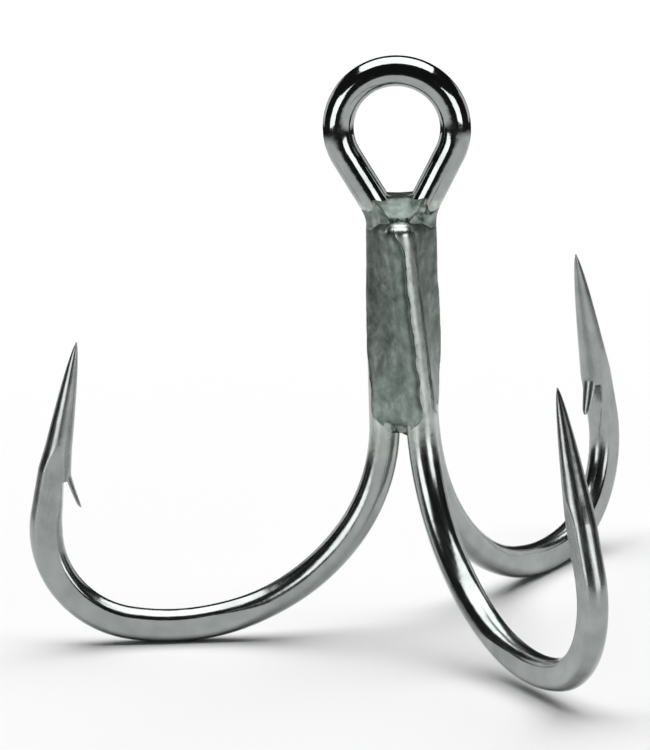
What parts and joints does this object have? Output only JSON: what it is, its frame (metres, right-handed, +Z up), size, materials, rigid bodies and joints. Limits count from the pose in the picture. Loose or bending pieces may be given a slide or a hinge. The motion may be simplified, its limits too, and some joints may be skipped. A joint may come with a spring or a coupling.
{
  "type": "treble hook",
  "caption": "Treble fishing hook: double hook bent from one wire with the line eye, a single hook brazed into its shank, forged bends, and barbed points turned slightly inward.",
  "frame": {"origin": "centre of the line eye's ring", "axes": "+Z up along the shank towards the eye, Y through the eye's hole, and the left hook of the double points along -X"},
  "size_m": [0.0596, 0.0689, 0.0599],
  "materials": {
    "plated_wire": "bright nickel-tin plating on high-carbon steel wire",
    "braze_filler": "satin greenish-grey plated braze metal"
  },
  "bodies": {
    "root": {"double_hook_wire": "plated_wire", "single_hook_wire": "plated_wire", "braze_seam_front_left": "braze_filler", "braze_seam_right": "braze_filler", "braze_seam_rear": "braze_filler", "braze_eye_throat": "braze_filler"}
  },
  "joints": []
}
